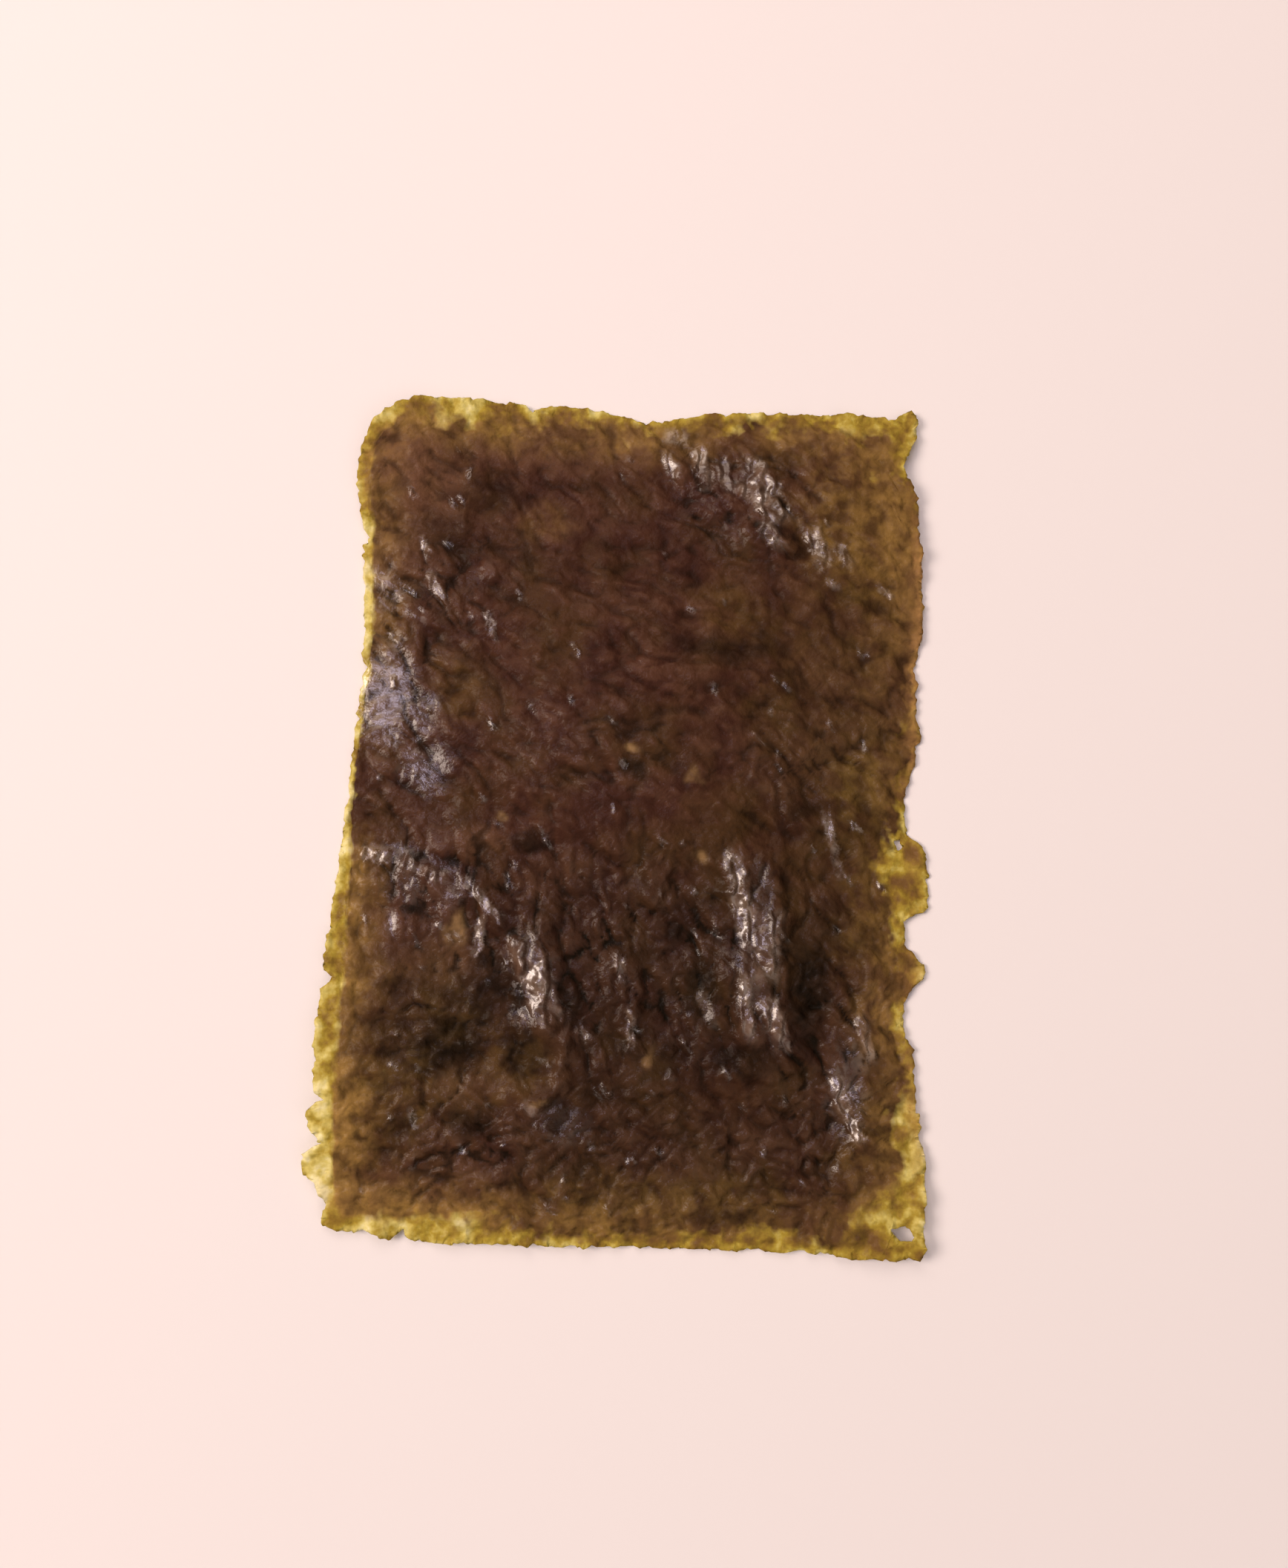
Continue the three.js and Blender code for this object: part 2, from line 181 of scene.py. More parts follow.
# height of the glossy pleats in mm, how oily they are, and the share of the wide ones
def pleatsAt(x, y):
    settings = pleatSettings
    near = ridgeBins.get((int(x // settings["binSize"]), int(y // settings["binSize"])))
    if not near:
        return 0.0, 0.0, 0.0
    height = 0.0
    oil = 0.0
    streak = 0.0
    lit = settings["litShare"]
    dull = settings["crackShine"]
    beadMean, beadSwing = settings["beadHeight"]
    strayX, strayY = shiftAt(x, y, *settings["stray"])
    fineX, fineY = shiftAt(x, y, *settings["fineStray"])
    movedX = x + strayX + fineX
    movedY = y + strayY + fineY
    for (startX, startY), (endX, endY), half, pitch, slope, shine in near:
        runX = endX - startX
        runY = endY - startY
        length = math.hypot(runX, runY)
        along = ((movedX - startX) * runX + (movedY - startY) * runY) / length
        across = ((movedY - startY) * runX - (movedX - startX) * runY) / length
        if abs(across) > half or along < -half or along > length + half:
            continue
        fall = 1.0 - softStep(settings["fullShare"] * half, half, abs(across))
        fall *= softStep(-half, half, along) * (1.0 - softStep(length - half, length + half, along))
        place = ((movedX - startX + half) / pitch) % 1.0  # each facet rises to the right, so it looks left
        rise = place / lit if place < lit else (1.0 - place) / (1.0 - lit)
        bead = beadMean + beadSwing * grain(x, y, settings["beadPitch"], endX)
        crack = softStep(*settings["crackFrom"], grain(x, y, settings["crackPitch"], startX))
        height = max(height, slope * pitch * lit * rise * fall * bead)
        oil = max(oil, shine * fall * (dull + (1.0 - dull) * crack))
        if half > settings["streakFrom"]:
            streak = max(streak, shine * fall)
    return height, oil, streak


# crumple: the slant of its creases in degrees and their stretch by zone, and the length, width and
# height of each size of crease
creaseSettings = {
    "slants": {"corner": -38.0, "middle": -10.0, "lower": -72.0, "foot": 12.0},
    "stretch": {"corner": 1.0, "middle": 1.0, "lower": 0.9, "foot": 0.55},
    "middleZone": (2.0, 18.0, 14.0, 16.0),      # middle and reach
    "lowerZone": (-8.0, 6.0),                   # all of it below the first Y, none above the second
    "footZone": (-31.0, -25.0),
    "footCorner": (-20.0, -24.0, 9.0, 9.0),
    "leastShare": 0.01,     # a zone that counts for less is left out
    "sizes": [
        (6.0, 2.8, 0.34),   # broad swellings between narrow valleys
        (3.4, 1.5, 0.27),
        (1.9, 0.9, 0.15),
    ],
    "layerGap": 3.7,        # keeps the sizes' noise apart
    "steep": 2.6,
    "level": 0.68,          # a crease's usual share of its height
    "calmShare": 0.75,      # height left where the leaf is calm
    "pitFrom": (-0.04, -0.30),      # how deep a valley is where its painted shade starts, and where it is darkest
    # how high a crest is where it starts to pale as painted light and to gather more oil film, and where it
    # is palest
    "crestFrom": (0.02, 0.30),
    "calmPit": 0.52,        # painted shade: how dark a valley gets where the leaf is calm
    "roughPit": 0.56,       # and more of it where the leaf is rough
    "olivePit": 0.65,       # share of it gone where the leaf is olive or thin
    "bend": (0.9, 4.0, 4.1, 8.6),   # how far and how often a crease bends, and the noise layers
}


# crumple at a place, from -1 in a valley to 1: slanting at the corners, level in the middle,
# upright below and level again at the foot; then its height in mm
def creaseAt(x, y, rough):
    settings = creaseSettings
    bendX, bendY = shiftAt(x, y, *settings["bend"])
    bentX = x + bendX
    bentY = y + bendY
    lower = 1.0 - softStep(*settings["lowerZone"], y)
    foot = max(1.0 - softStep(*settings["footZone"], y), nearShare(x, y, *settings["footCorner"]))
    foot *= lower
    middle = (1.0 - lower) * nearShare(x, y, *settings["middleZone"])
    shares = {"lower": lower - foot, "foot": foot, "middle": middle, "corner": 1.0 - lower - middle}
    total = 0.0
    highest = sum(high for long, wide, high in settings["sizes"])
    for zone, share in shares.items():
        if share < settings["leastShare"]:
            continue
        slant = math.radians(settings["slants"][zone])
        stretch = settings["stretch"][zone]
        along = bentX * math.cos(slant) + bentY * math.sin(slant)
        across = bentY * math.cos(slant) - bentX * math.sin(slant)
        for layer, (long, wide, high) in enumerate(settings["sizes"]):
            spot = Vector((along / (long * stretch), across / wide, settings["layerGap"] * layer + slant))
            wave = min(settings["steep"] * abs(noise.noise(spot)), 1.0)
            total += share * high * (wave * (2.0 - wave) - settings["level"])
    amount = settings["calmShare"] + (1.0 - settings["calmShare"]) * rough
    return total / highest, total * amount


# a curled fold, like a ring that lies open to one side
curlSettings = {
    "middle": (-8.7, -26.9),
    "reach": (2.9, 4.0),    # half its width and half its length
    "thick": 0.3,           # as a share of its reach
    "high": 0.65,
    "crest": 0.7,           # how much paler its ridge is than the crumple, as painted light
    "openTo": 150.0,        # degrees
    "openFrom": (0.1, 0.9),
}


# share of the curled fold at a place
def curlAt(x, y):
    settings = curlSettings
    across = (x - settings["middle"][0]) / settings["reach"][0]
    along = (y - settings["middle"][1]) / settings["reach"][1]
    ring = math.exp(-((math.hypot(across, along) - 1.0) / settings["thick"]) ** 2)
    facing = math.cos(math.atan2(along, across) - math.radians(settings["openTo"]))
    return ring * (1.0 - softStep(*settings["openFrom"], facing))


# broad patches: middle, reach across and along, strength
toneSettings = {
    # paler strips along the rim
    "veil": [
        (-20.0, 43.0, 9.0, 7.0, 0.75), (0.0, 43.0, 9.0, 7.0, 0.45), (22.0, 41.0, 10.0, 7.0, 0.55),
        (28.0, 30.0, 6.0, 12.0, 0.5), (28.0, 5.0, 6.0, 6.0, 0.2), (27.0, -20.0, 6.0, 10.0, 0.4),
        (26.0, -36.0, 6.0, 8.0, 0.6), (17.0, -43.0, 7.0, 6.0, 0.12), (0.0, -43.0, 9.0, 6.0, 0.45),
        (-20.0, -43.0, 10.0, 6.0, 0.95), (-28.0, -32.0, 6.0, 8.0, 0.95), (-28.0, -15.0, 6.0, 12.0, 0.8),
        (-27.0, 25.0, 6.0, 18.0, 0.4), (-27.0, -41.0, 6.0, 6.0, 0.95),
    ],
    # less red
    "dusk": [
        (8.0, -33.0, 26.0, 11.0, 0.6), (21.0, 6.0, 10.0, 28.0, 0.8), (-20.0, -25.0, 8.0, 12.0, 0.7),
        (2.0, -14.0, 24.0, 14.0, 0.25),
    ],
    "olive": [
        (24.6, 33.0, 7.0, 10.0, 1.0), (-19.2, 13.0, 3.0, 5.0, 0.3), (-22.4, -30.5, 4.0, 6.0, 0.5),
        (-11.0, -26.6, 4.2, 4.2, 0.5), (10.0, 21.5, 5.0, 3.5, 0.2), (6.0, -40.5, 13.0, 3.2, 0.6),
        (25.5, 3.2, 4.5, 4.0, 0.7), (-10.2, 31.8, 3.5, 2.5, 0.45), (27.5, -12.0, 5.0, 14.0, 0.6),
        (0.0, 43.0, 32.0, 4.5, 0.5), (0.0, -42.5, 32.0, 5.0, 0.5), (28.0, 20.0, 5.0, 20.0, 0.3),
        (-27.0, -32.0, 5.0, 12.0, 0.5), (27.0, -36.0, 5.0, 10.0, 0.5), (21.0, 14.0, 9.0, 14.0, 0.14),
        (-22.0, 36.0, 8.0, 7.0, 0.15), (26.0, 24.0, 4.0, 4.0, 0.2), (-22.0, -26.0, 9.0, 10.0, 0.22),
    ],
    # darker patches: painted shade in hollows between the folds, and partly the leaf's own darker spots
    "dark": [
        (-13.4, -18.2, 3.0, 4.6, 0.8), (0.7, 4.3, 1.6, 0.9, 0.9), (-10.0, -3.6, 2.4, 1.4, 0.8),
        (19.4, -18.5, 2.8, 8.0, 0.95), (3.6, -24.2, 8.0, 3.0, 0.7), (6.0, -11.8, 2.6, 3.0, 0.8),
        (-16.0, 34.5, 4.5, 2.0, 0.5), (-10.4, -25.4, 2.5, 3.5, 1.0), (10.5, 18.0, 7.0, 1.8, 0.7),
        (12.5, -25.8, 5.0, 2.4, 0.8), (10.0, -12.0, 1.0, 7.0, 0.6), (-6.0, -19.5, 1.4, 5.0, 0.6),
        (2.0, -19.0, 25.0, 15.0, 0.51), (6.0, -33.0, 22.0, 9.0, 0.33), (-18.2, -25.2, 4.6, 3.4, 0.92),
        (-17.0, -20.0, 2.4, 3.0, 0.55), (21.0, -12.0, 3.0, 4.0, 0.5), (-22.0, -25.0, 5.0, 5.0, 0.45),
        (-24.0, -19.5, 2.0, 2.0, 0.4), (-16.0, -33.0, 2.6, 1.6, 0.5), (18.2, 0.6, 2.4, 1.2, 0.7),
        (11.4, -41.6, 4.0, 1.6, 0.6), (-21.3, 30.4, 4.0, 2.4, 0.4), (-22.9, -33.5, 2.2, 1.8, 0.6),
        (8.1, -18.2, 2.2, 5.0, 0.9), (-3.2, -29.3, 2.2, 2.6, 0.6), (-3.0, -34.0, 2.2, 1.8, 0.4),
        (-2.8, -24.2, 2.4, 2.2, 0.6), (-0.3, -29.2, 2.4, 2.4, 0.5), (2.2, -11.9, 2.0, 2.0, 0.5),
        (0.1, -20.0, 1.6, 3.0, 0.5), (-14.6, -16.1, 2.1, 2.4, 0.85), (-14.8, -20.7, 2.2, 2.8, 0.85),
        (-10.9, -19.7, 1.6, 2.6, 0.9), (-5.4, -21.3, 1.9, 3.0, 0.9), (-15.3, -32.8, 2.4, 1.8, 0.7),
        (-6.5, -31.9, 2.6, 2.0, 0.7),
    ],
    "tan": [
        (-24.0, 37.0, 6.0, 6.0, 0.95), (-8.0, 40.0, 14.0, 3.0, 0.5), (-25.0, 28.0, 4.0, 6.0, 0.4),
        (-23.0, -12.0, 5.0, 3.0, 0.4), (24.0, 14.0, 5.0, 8.0, 0.2), (-19.0, -16.4, 7.0, 2.6, 0.8),
        (-16.6, -29.2, 4.0, 1.3, 0.5), (-6.9, -26.6, 1.5, 3.0, 0.5), (26.5, -21.6, 2.0, 6.0, 0.4),
        (-10.0, 31.3, 4.0, 2.5, 0.4), (7.6, -36.7, 5.0, 2.0, 0.3), (-14.4, -38.2, 8.0, 2.2, 0.3),
        (30.8, 18.0, 1.3, 22.0, 0.8), (31.0, -24.0, 1.6, 14.0, 0.5), (20.4, 15.6, 4.0, 4.0, 0.25),
        (17.0, 6.0, 7.0, 4.0, 0.25), (-16.3, -3.5, 3.0, 1.5, 0.45), (-3.7, -14.5, 2.5, 2.5, 0.4),
        (-7.6, -6.5, 4.0, 2.4, 0.3), (-9.0, -34.2, 3.0, 2.0, 0.35), (14.3, -33.5, 4.0, 2.0, 0.3),
        (-23.0, -40.5, 7.0, 2.5, 0.5),
    ],
    # smooth and oily
    "oil": [
        (-26.2, 12.0, 3.2, 5.6, 0.8), (-26.9, 24.0, 1.4, 3.2, 0.55), (-21.8, 4.0, 2.8, 3.0, 0.6),
        (-23.0, 9.8, 2.2, 3.2, 0.5), (-24.4, -13.0, 0.8, 1.4, 0.8), (4.3, 41.6, 1.4, 1.2, 0.7),
        (-24.0, -5.6, 4.0, 1.4, 0.5), (-20.4, -8.3, 5.0, 3.0, 0.4), (-5.8, -32.6, 3.0, 2.0, 0.4),
        (14.0, -14.0, 2.4, 9.0, 0.55), (-9.5, -18.0, 2.4, 5.0, 0.7), (23.8, -28.0, 2.2, 6.0, 0.6),
    ],
    # single flakes
    "ochre": [
        (0.7, 6.4, 1.0, 0.6, 1.0), (7.3, 3.8, 0.8, 0.7, 0.6), (-13.5, -1.1, 0.8, 0.6, 0.7),
        (7.8, -4.6, 0.9, 0.7, 0.8), (3.0, -25.8, 0.8, 0.9, 0.7), (-8.3, -31.0, 1.0, 0.5, 0.7),
        (-17.7, -13.4, 1.0, 2.0, 1.0),
    ],
    # more crumpled; calm elsewhere
    "rough": [
        (0.0, -17.0, 26.0, 13.0, 1.0), (22.0, -24.0, 8.0, 16.0, 1.0), (-22.0, -8.0, 9.0, 9.0, 0.8),
        (-25.0, 14.0, 6.0, 16.0, 0.7), (12.5, 34.5, 9.0, 7.0, 0.9), (-20.0, 24.0, 6.0, 7.0, 0.6),
        (0.0, -37.0, 28.0, 7.0, 0.55), (20.0, 5.0, 10.0, 8.0, 0.5), (-4.0, 6.0, 12.0, 5.0, 0.45),
        (-19.0, -25.0, 8.0, 8.0, 1.0), (-16.0, -35.0, 9.0, 5.0, 0.8),
    ],
    # where the margin is narrower, wider, or reaches deeper into the field
    "narrow": [
        (29.5, 24.0, 4.0, 14.0, 1.8), (29.5, -22.0, 4.0, 8.0, 0.6), (4.0, -44.0, 13.0, 3.0, 0.1),
        (1.0, 44.0, 8.0, 3.0, 1.1), (13.0, 44.5, 5.0, 2.5, 0.5), (-12.0, 44.0, 5.0, 3.0, 0.4),
        (29.5, 6.0, 3.0, 5.0, 1.0),
    ],
    "wide": [
        (29.0, -5.6, 4.0, 4.0, 1.5), (29.5, -13.5, 3.0, 3.0, 0.6), (-29.5, 25.0, 2.5, 16.0, 0.7),
        (-30.0, -14.0, 2.5, 12.0, 0.5), (-18.0, -43.5, 9.0, 2.5, 0.35),
    ],
    "deep": [(27.0, -41.0, 6.0, 6.0, 1.0)],
    "fall": 1.2,            # how fast a patch falls off
    "end": 2.0,             # and how far out it ends
    "wander": (1.1, 2.2, 21.3, 35.7),   # how far and how often its outline strays, and the noise layers
}


# a place moved a little, so that a patch's outline strays
def strayPlace(x, y):
    strayX, strayY = shiftAt(x, y, *toneSettings["wander"])
    return x + strayX, y + strayY


# share of the strongest patch at a place
def patchShare(kind, x, y):
    strongest = 0.0
    for *spot, strength in toneSettings[kind]:
        away = awayFrom(x, y, *spot)
        if away < toneSettings["end"]:
            strongest = max(strongest, strength * math.exp(-toneSettings["fall"] * away * away))
    return strongest


# the see-through margin
marginSettings = {
    "sharpLeft": (-27.0, -23.0),    # its border is sharp left of the first X, loose right of the second
    "sharpSway": 0.25,      # how far that border strays
    "looseSway": 1.3,
    "coarse": (1.0, 2.0, 13.1, 43.4),       # share and pitch of its sways, and the noise layers
    "fine": (0.6, 0.7, 17.9, 47.2),
    "blur": (0.35, 1.0),    # how soft it is, on the left side and elsewhere
    "looks": (-1.0, 0.0, 1.0),      # the places looked at for that, along the way to the rim
    "thinFrom": (0.17, 0.35),       # thickness of the margin, and of the field
    "narrowBy": 0.07,
    "reach": (3.4, 5.0),    # no margin farther than this from the rim
    "deeper": 3.0,          # but this much farther at the deep corner
    "rimThin": (0.1, 0.9),  # the rim itself is thin all round
    "rimReach": (0.0, 1.1),         # and paler than the margin, as painted light along the rim
    "rimLight": 0.35,
    "veilReach": (0.8, 7.0),        # the field is paler up to this far from the rim
    # middle, reach, and how pale or, below 0, how brown the margin is there
    "tones": [
        (-30.0, 28.0, 3.0, 13.0, 0.2), (-31.0, -10.0, 3.0, 11.0, 0.15), (-31.5, -37.0, 3.0, 8.0, 0.45),
        (-20.0, -44.0, 9.0, 2.4, 0.25), (5.0, -44.5, 13.0, 3.0, -0.5), (28.5, -42.0, 5.0, 5.0, -0.32),
        (2.0, 44.5, 8.0, 3.0, -0.55), (22.0, 44.0, 9.0, 3.0, -0.45), (30.0, -21.0, 4.0, 9.0, -0.4),
        (30.5, -5.6, 4.0, 5.0, -0.45), (30.0, 24.0, 3.5, 15.0, -1.1), (29.5, 4.0, 3.0, 5.0, -0.8),
        (-12.0, 43.4, 5.0, 2.0, -0.35),
    ],
}


# pale above 0 and brown below, round the margin
def marginTone(x, y):
    total = 0.0
    for *spot, strength in marginSettings["tones"]:
        away = awayFrom(x, y, *spot)
        total += strength * math.exp(-away * away)
    return total


# height of the first face met from far above a place, or from below when far is negative, in mm;
# None off the sheet
def faceHeight(tree, x, y, far):
    hit = tree.ray_cast(Vector((x * mm, y * mm, far)), Vector((0.0, 0.0, -far)))[0]
    return None if hit is None else hit.z / mm


# thickness of the solid at a place, mm; 0 off the sheet
def thicknessAt(tree, x, y):
    top = faceHeight(tree, x, y, lookFrom)
    foot = faceHeight(tree, x, y, -lookFrom)
    return 0.0 if top is None or foot is None else top - foot


# 1 where the leaf is thin and see-through, 0 in the dark field
def thinAt(tree, x, y, narrow, way):
    settings = marginSettings
    loose = softStep(*settings["sharpLeft"], x)
    sway = settings["sharpSway"] + settings["looseSway"] * loose
    sharp, soft = settings["blur"]
    step = way * (sharp + (soft - sharp) * loose)
    coarseX, coarseY = shiftAt(x, y, *settings["coarse"])
    fineX, fineY = shiftAt(x, y, *settings["fine"])
    movedX = x + sway * (coarseX + fineX)
    movedY = y + sway * (coarseY + fineY)
    thin = 0.0
    for side in settings["looks"]:
        thickness = thicknessAt(tree, movedX + side * step.x, movedY + side * step.y)
        thickness += settings["narrowBy"] * narrow
        thin += (1.0 - softStep(*settings["thinFrom"], thickness)) / len(settings["looks"])
    return thin


# the leaf: a finer copy of the solid, crumpled, pleated and frayed
leafSettings = {
    "node": "nori_sheet",
    "piece": "nori_leaf",
    "marks": ("thin", "veil", "dusk", "olive", "dark", "crest", "gloss", "streak", "ochre", "tan", "pale"),
    "mergeWithin": 0.001,
    "upperEdge": 0.54,      # longest edge left on the upper face
    "pleatEdge": 0.31,      # the same where glossy pleats lie
    "rimEdge": 0.26,        # the same along the torn rim
    "lowerEdge": 1.25,      # the same on the underside
    "pleatOil": 0.05,       # glossy pleats lie where their oil is more than this
    "firstCuts": 2,         # the upper face is cut in thirds first, then in halves
    "laterCuts": 1,
    "splitRounds": 4,
    "faceUp": 0.3,          # a face whose normal rises more than this is the upper face
    "sliver": 4e-10,        # a face smaller than this says nothing of its slope, square metres
    "smoothRounds": 7,
    "smoothBy": 0.5,
    "facetSeed": 77,
    "facets": (0.15, 0.07),     # how far the corners of large and small facets stray up or down
    "facetCalm": 0.6,           # share of that where the leaf is calm
    "facetRim": 1.6,            # less of it this near to the rim, and none at the rim
    "lift": 0.3,            # raises the crumple, so that its valleys stay off the floor
    "floorGap": 0.01,       # the underside stays this far above the floor
    "thinnest": 0.1,
    "underReach": 0.5,      # the underside keeps clear of the upper face this far round
    "underLooks": 8,
    "fray": 0.3,            # how far the torn rim strays in plan
    "frayReach": 1.0,
    "frayNoise": (0.55, 61.0, 77.0),        # its pitch and the noise layers
    "calmFilm": 0.05,       # oil film all over
    "roughFilm": 0.09,      # and more of it where the leaf is rough
    "valleyFilm": 0.5,      # share of the film in the valleys
    "darkDull": 0.7,        # share of the gloss gone where the leaf is darkest
    "sharpFrom": 60.0,      # degrees
}


def copyOfNode(name, mergeWithin):
    shape = bmesh.new()
    shape.from_mesh(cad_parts[name].data)
    bmesh.ops.remove_doubles(shape, verts=shape.verts, dist=mergeWithin * mm)
    return shape


def longestEdgeFor(edge, upFaces, settings):
    ups = sum(face in upFaces for face in edge.link_faces)
    if ups == 0:
        return settings["lowerEdge"]
    if ups == 1:
        return settings["rimEdge"]
    middle = (edge.verts[0].co + edge.verts[1].co) / 2 / mm
    oil = pleatsAt(middle.x, middle.y)[1]
    return settings["pleatEdge"] if oil > settings["pleatOil"] else settings["upperEdge"]


# a triangle with two edges to split has its third split too, so that every cut leaves triangles
def evenOut(shape, edges):
    chosen = set(edges)
    fresh = edges
    while fresh:
        extra = []
        for edge in fresh:
            for face in edge.link_faces:
                left = [other for other in face.edges if other not in chosen]
                if len(left) == 1:
                    chosen.add(left[0])
                    extra.append(left[0])
        fresh = extra
    return [edge for edge in shape.edges if edge in chosen]


def splitEdges(shape, edges, cuts):
    edges = evenOut(shape, edges)
    bmesh.ops.subdivide_edges(shape, edges=edges, cuts=cuts, use_grid_fill=True, use_single_edge=True)
    shape.normal_update()
    print("split in", cuts + 1, "triangles", len(shape.faces))


# the corners of the facets go up or down by chance; later cuts keep the facets flat
def strayCorners(shape, layer, high, draw):
    for vert in shape.verts:
        vert[layer] += draw.uniform(-high, high)


def refine(shape, settings, facet):
    draw = random.Random(settings["facetSeed"])
    large, small = settings["facets"]
    strayCorners(shape, facet, large, draw)
    upper = {edge for face in shape.faces if face.normal.z > settings["faceUp"] for edge in face.edges}
    long = [edge for edge in shape.edges
            if edge in upper and edge.calc_length() / mm > settings["lowerEdge"]]
    splitEdges(shape, long, settings["firstCuts"])
    strayCorners(shape, facet, small, draw)
    for turn in range(settings["splitRounds"]):
        upFaces = {face for face in shape.faces if face.normal.z > settings["faceUp"]}
        tooLong = [edge for edge in shape.edges
                   if edge.calc_length() / mm > longestEdgeFor(edge, upFaces, settings)]
        if not tooLong:
            break
        splitEdges(shape, tooLong, settings["laterCuts"])


# corners of the steep faces round the leaf's edge
def wallVerts(shape, settings):
    steep = [face for face in shape.faces
             if abs(face.normal.z) < settings["faceUp"] and face.calc_area() > settings["sliver"]]
    return {vert for face in steep for vert in face.verts}


# places along the torn rim, for the distance to it in plan
def rimTree(verts):
    tree = KDTree(len(verts))
    for index, vert in enumerate(verts):
        tree.insert((vert.co.x, vert.co.y, 0.0), index)
    tree.balance()
    return tree


# moves one corner of the mesh to its place in the crumple, and gives the marks that its finish reads
def crumpleVert(vert, facetHigh, solid, rim, settings):
    x, y, z = vert.co / mm
    patchX, patchY = strayPlace(x, y)
    patches = {kind: patchShare(kind, patchX, patchY) for kind in (
        "rough", "oil", "narrow", "wide", "deep", "olive", "veil", "dark", "dusk", "ochre", "tan")}
    rimSpot, _, rimAway = rim.find((vert.co.x, vert.co.y, 0.0))
    way = (rimSpot - vert.co).to_2d().normalized()
    rimAway /= mm

    depth, crease = creaseAt(x, y, patches["rough"])
    curl = curlAt(patchX, patchY)
    depth += curlSettings["crest"] * curl
    crease += curlSettings["high"] * curl
    pleat, oil, streak = pleatsAt(x, y)
    corner = facetHigh * (settings["facetCalm"] + (1.0 - settings["facetCalm"]) * patches["rough"])
    crease += corner * softStep(0.0, settings["facetRim"], rimAway)
    crease *= 1.0 - max(pleatSettings["streakCalm"] * streak, pleatSettings["oilCalm"] * patches["oil"])
    fray = settings["fray"] * (1.0 - softStep(0.0, settings["frayReach"], rimAway))
    frayX, frayY = shiftAt(x, y, fray, *settings["frayNoise"])
    vert.co.x += frayX * mm
    vert.co.y += frayY * mm
    lowest = settings["floorGap"] + settings["thinnest"]
    vert.co.z = max(z + settings["lift"] + crease + pleat, lowest) * mm

    thin = thinAt(solid, x, y, patches["narrow"] - patches["wide"], way)
    deep = marginSettings["deeper"] * patches["deep"]
    thin *= 1.0 - softStep(*marginSettings["reach"], rimAway - deep)
    thin = max(thin, 1.0 - softStep(*marginSettings["rimThin"], rimAway))
    # painted light: the rim is made paler
    rimLight = 1.0 - softStep(*marginSettings["rimReach"], rimAway)
    veil = patches["veil"] * (1.0 - softStep(*marginSettings["veilReach"], rimAway))
    # crests are made paler as painted light, and glossier
    crest = softStep(*creaseSettings["crestFrom"], depth)
    # painted shade in the crumple's valleys, and in the dark patches
    pit = creaseSettings["calmPit"] + creaseSettings["roughPit"] * patches["rough"]
    pit *= softStep(*creaseSettings["pitFrom"], depth)
    pit *= 1.0 - creaseSettings["olivePit"] * max(patches["olive"], veil)
    dark = max(pit, patches["dark"]) * (1.0 - streak)
    clear = 1.0 - settings["darkDull"] * dark
    film = settings["calmFilm"] + settings["roughFilm"] * patches["rough"]
    film *= settings["valleyFilm"] + (1.0 - settings["valleyFilm"]) * crest
    return {
        "thin": thin,
        "veil": veil,
        "dusk": patches["dusk"],
        "olive": patches["olive"],
        "dark": dark,
        "crest": crest,
        "gloss": max(oil, film * clear, patches["oil"] * clear),
        "streak": streak,
        "ochre": patches["ochre"],
        "tan": patches["tan"],
        "pale": marginTone(x, y) + marginSettings["rimLight"] * rimLight,
    }


# lowest place of the upper face close round a place, mm
def lowestAbove(tree, x, y, settings):
    heights = [faceHeight(tree, x, y, lookFrom)]
    for look in range(settings["underLooks"]):
        turn = 2.0 * math.pi * look / settings["underLooks"]
        heights.append(faceHeight(tree, x + settings["underReach"] * math.cos(turn),
                                  y + settings["underReach"] * math.sin(turn), lookFrom))
    return min((height for height in heights if height is not None), default=0.0)


# the underside hangs below the crumpled upper face by the solid's own thickness
def hangUnderside(shape, under, solid, settings):
    crumpled = BVHTree.FromBMesh(shape)
    for vert in under:
        x = vert.co.x / mm
        y = vert.co.y / mm
        hang = max(thicknessAt(solid, x, y), settings["thinnest"])
        vert.co.z = max(lowestAbove(crumpled, x, y, settings) - hang, settings["floorGap"]) * mm
    shape.normal_update()


def buildLeaf(settings):
    shape = copyOfNode(settings["node"], settings["mergeWithin"])
    layers = {name: shape.verts.layers.float.new(name) for name in settings["marks"]}
    solid = BVHTree.FromBMesh(shape)
    facet = shape.verts.layers.float.new("facet")
    refine(shape, settings, facet)
    wall = wallVerts(shape, settings)
    rim = rimTree(sorted(wall, key=lambda vert: vert.index))
    inner = [vert for vert in shape.verts if vert not in wall]
    for turn in range(settings["smoothRounds"]):
        bmesh.ops.smooth_vert(shape, verts=inner, factor=settings["smoothBy"], use_axis_z=True)
    shape.normal_update()
    under = [vert for vert in inner if vert.normal.z < 0.0]
    for vert in shape.verts:
        marks = crumpleVert(vert, vert[facet], solid, rim, settings)
        for name, mark in marks.items():
            vert[layers[name]] = mark
    print("leaf crumpled")
    hangUnderside(shape, under, solid, settings)
    shape.verts.layers.float.remove(facet)
    mesh = bpy.data.meshes.new(settings["piece"])
    shape.to_mesh(mesh)
    openEdges = sum(not edge.is_manifold for edge in shape.edges)
    print("leaf has", len(mesh.polygons), "triangles and", openEdges, "open edges")
    shape.free()
    mesh.shade_smooth()
    mesh.set_sharp_from_angle(angle=math.radians(settings["sharpFrom"]))
    leaf = bpy.data.objects.new(settings["piece"], mesh)
    bpy.context.scene.collection.objects.link(leaf)
    return leaf


def addNode(tree, kind, **values):
    node = tree.nodes.new(kind)
    for name, value in values.items():
        setattr(node, name, value)
    return node


